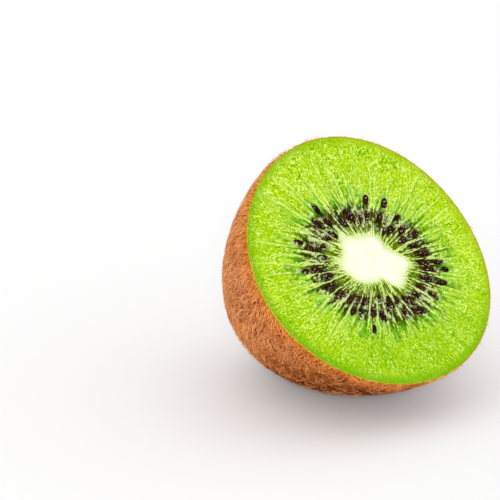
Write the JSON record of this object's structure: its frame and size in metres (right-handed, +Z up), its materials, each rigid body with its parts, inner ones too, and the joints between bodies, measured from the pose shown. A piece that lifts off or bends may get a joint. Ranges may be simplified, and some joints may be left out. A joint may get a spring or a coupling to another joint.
{
  "type": "kiwi fruit half",
  "caption": "Half of a green kiwi fruit, leaning back on its rounded rind with the cut face and its seed ring up.",
  "frame": {"origin": "on the flat spot that the half rests on, below its balance point", "axes": "+Z up, +X to the right across the cut face, and the cut face turned up and towards -Y"},
  "size_m": [0.0509, 0.0492, 0.0475],
  "materials": {
    "flesh": "satin",
    "core": "satin",
    "rind": "matte",
    "seed": "gloss"
  },
  "bodies": {
    "root": {"flesh": "flesh", "core": "core"}
  },
  "joints": []
}
